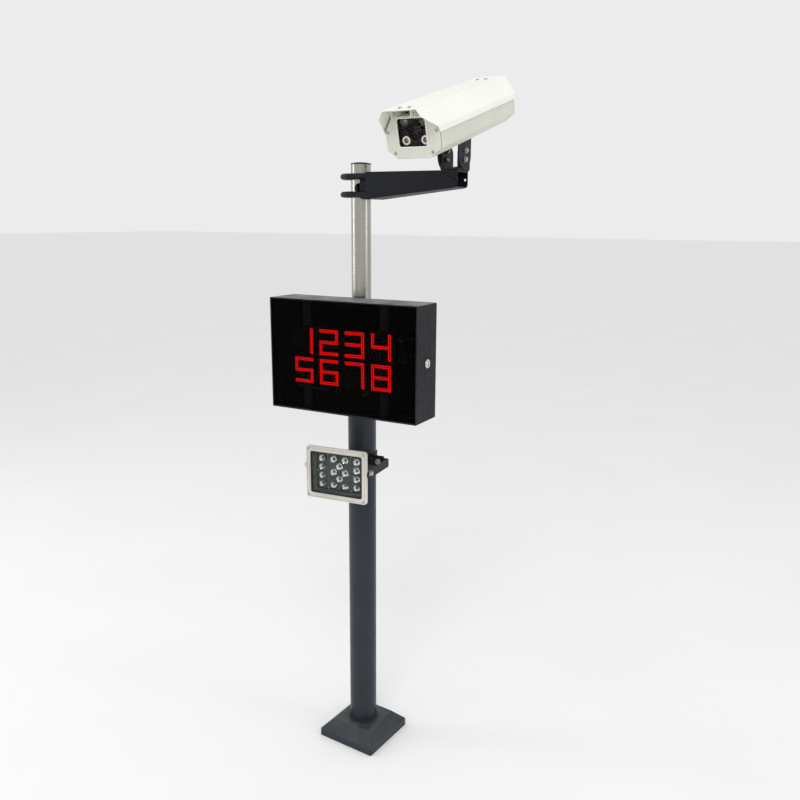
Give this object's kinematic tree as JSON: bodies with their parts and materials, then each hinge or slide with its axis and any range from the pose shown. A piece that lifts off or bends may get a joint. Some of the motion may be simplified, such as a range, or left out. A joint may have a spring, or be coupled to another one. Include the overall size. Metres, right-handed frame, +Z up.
{
  "type": "camera and message sign post",
  "caption": "Roadside post with a covered base plate, LED message box, LED floodlight and a side arm carrying a number-plate camera in a sunshielded housing.",
  "frame": {"origin": "on the pole's axis at the underside of the base plate", "axes": "+Z up along the pole, -Y the side the message box faces, +X along the camera arm"},
  "size_m": [0.5277, 0.5096, 1.8327],
  "materials": {
    "blue_grey_paint": "satin",
    "galvanised_plate": "matte",
    "stainless_pipe": "satin",
    "black_rubber": "matte",
    "black_plastic": "satin",
    "black_box_paint": "satin",
    "black_acrylic": "gloss",
    "led_face": "matte, emissive dots",
    "zinc_steel": "satin",
    "chrome_lock": "polished",
    "supply_case": "satin",
    "green_board": "satin",
    "slate_powder_coat": "fine texture",
    "black_steel": "satin",
    "white_housing": "satin",
    "clear_glass": "gloss",
    "black_anodised": "matte",
    "lamp_white": "gloss",
    "lamp_case": "satin",
    "lamp_board": "satin",
    "clear_lens": "gloss"
  },
  "bodies": {
    "post": {"base_plate": "galvanised_plate", "lower_pipe": "blue_grey_paint", "mast_collar": "blue_grey_paint", "collar_screws": "zinc_steel", "box_saddles": "zinc_steel", "box_u_bolts": "zinc_steel", "box_u_nuts": "zinc_steel", "message_case": "black_box_paint", "case_gasket": "black_rubber", "hinge_case_leaves": "zinc_steel", "lock_barrel": "chrome_lock", "power_supply": "supply_case", "control_card": "green_board", "case_gland": "black_plastic"},
    "base_cover": {"base_cover": "blue_grey_paint", "cover_grommet": "black_rubber"},
    "mast": {"upper_pipe": "stainless_pipe", "pole_cap": "black_plastic"},
    "message_door": {"message_door": "black_box_paint", "front_panel": "black_acrylic", "led_module": "led_face", "module_rails": "zinc_steel", "hinge_door_leaves": "zinc_steel", "lock_catch": "zinc_steel"},
    "lock": {"lock_plug": "chrome_lock", "lock_cam": "zinc_steel"},
    "arm": {"arm_channel": "slate_powder_coat", "arm_saddle": "slate_powder_coat", "arm_jaws": "black_steel", "arm_u_bolts": "black_steel", "arm_u_nuts": "black_steel"},
    "pan_bracket": {"lower_yoke": "slate_powder_coat", "bracket_bolts": "zinc_steel", "bracket_nuts": "zinc_steel"},
    "camera": {"upper_yoke": "slate_powder_coat", "housing_body": "white_housing", "housing_front": "white_housing", "housing_rear": "white_housing", "housing_gaskets": "black_rubber", "window_glass": "clear_glass", "end_plate_screws": "zinc_steel", "camera_tray": "supply_case", "camera_block": "black_anodised", "camera_lens": "black_anodised", "lamp_plate": "black_plastic", "ring_lamps": "lamp_white", "housing_glands": "black_plastic", "shield_brackets": "white_housing", "shield_screws": "zinc_steel"},
    "sunshield": {"sunshield": "white_housing"},
    "lamp_bracket": {"flood_bracket": "black_steel", "flood_hoop": "black_steel", "hoop_bolts": "zinc_steel"},
    "floodlight": {"flood_frame": "lamp_case", "flood_glass": "clear_glass", "flood_housing": "lamp_case", "flood_board": "lamp_board", "flood_lenses": "clear_lens", "frame_screws": "zinc_steel", "flood_pivot_bolts": "zinc_steel"}
  },
  "joints": [
    {"name": "cover_lift", "type": "slide", "parent": "post", "child": "base_cover", "axis": [0, 0, 1], "range_m": [0, 0.6]},
    {"name": "mast_height", "type": "slide", "parent": "post", "child": "mast", "axis": [0, 0, 1], "range_m": [-0.1, 0.2]},
    {"name": "door_hinge", "type": "hinge", "parent": "post", "child": "message_door", "pos_m": [-0.1932, -0.1045, 1.138], "axis": [0, 0, -1], "range_deg": [0, 110]},
    {"name": "lock_turn", "type": "hinge", "parent": "post", "child": "lock", "pos_m": [0.2, -0.09, 1.138], "axis": [-1, 0, 0], "range_deg": [0, 90]},
    {"name": "arm_swivel", "type": "hinge", "parent": "mast", "child": "arm", "pos_m": [0, 0, 1.56], "axis": [0, 0, 1], "range_deg": [-60, 60]},
    {"name": "camera_pan", "type": "hinge", "parent": "arm", "child": "pan_bracket", "pos_m": [0.263, 0, 1.5935], "axis": [0, 0, 1], "range_deg": [-60, 60]},
    {"name": "camera_tilt", "type": "hinge", "parent": "pan_bracket", "child": "camera", "pos_m": [0.263, -0.006, 1.6185], "axis": [1, 0, 0], "range_deg": [-15, 15]},
    {"name": "shield_slide", "type": "slide", "parent": "camera", "child": "sunshield", "axis": [0, -0.9632, -0.2689], "range_m": [-0.008, 0.008]},
    {"name": "lamp_swivel", "type": "hinge", "parent": "post", "child": "lamp_bracket", "pos_m": [0, 0, 0.845], "axis": [0, 0, 1], "range_deg": [-45, 45]},
    {"name": "lamp_tilt", "type": "hinge", "parent": "lamp_bracket", "child": "floodlight", "pos_m": [0.01194, -0.13648, 0.8485], "axis": [0.9962, 0.0872, 0], "range_deg": [-45, 45]}
  ]
}
